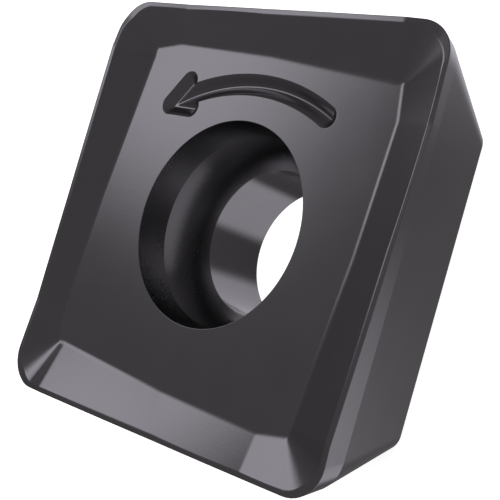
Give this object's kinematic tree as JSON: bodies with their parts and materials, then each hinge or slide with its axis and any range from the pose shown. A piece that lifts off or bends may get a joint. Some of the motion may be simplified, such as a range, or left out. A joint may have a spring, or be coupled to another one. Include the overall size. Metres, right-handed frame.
{
  "type": "carbide insert",
  "caption": "Square indexable milling insert in dark coated carbide with a chip groove, wiper edges, relieved flanks and a countersunk clamping-screw hole.",
  "frame": {"origin": "centre of the clamping-screw hole at the seat face", "axes": "+Z along the screw hole from the seat face to the rake face; +Y towards the cutting edge behind the engraved arrow; +X along that edge, from its nose with the wiper edge towards the next nose"},
  "size_m": [0.0128, 0.0128, 0.0051],
  "materials": {
    "coated_carbide": "satin dark grey hard coating"
  },
  "bodies": {
    "root": {"insert": "coated_carbide"}
  },
  "joints": []
}
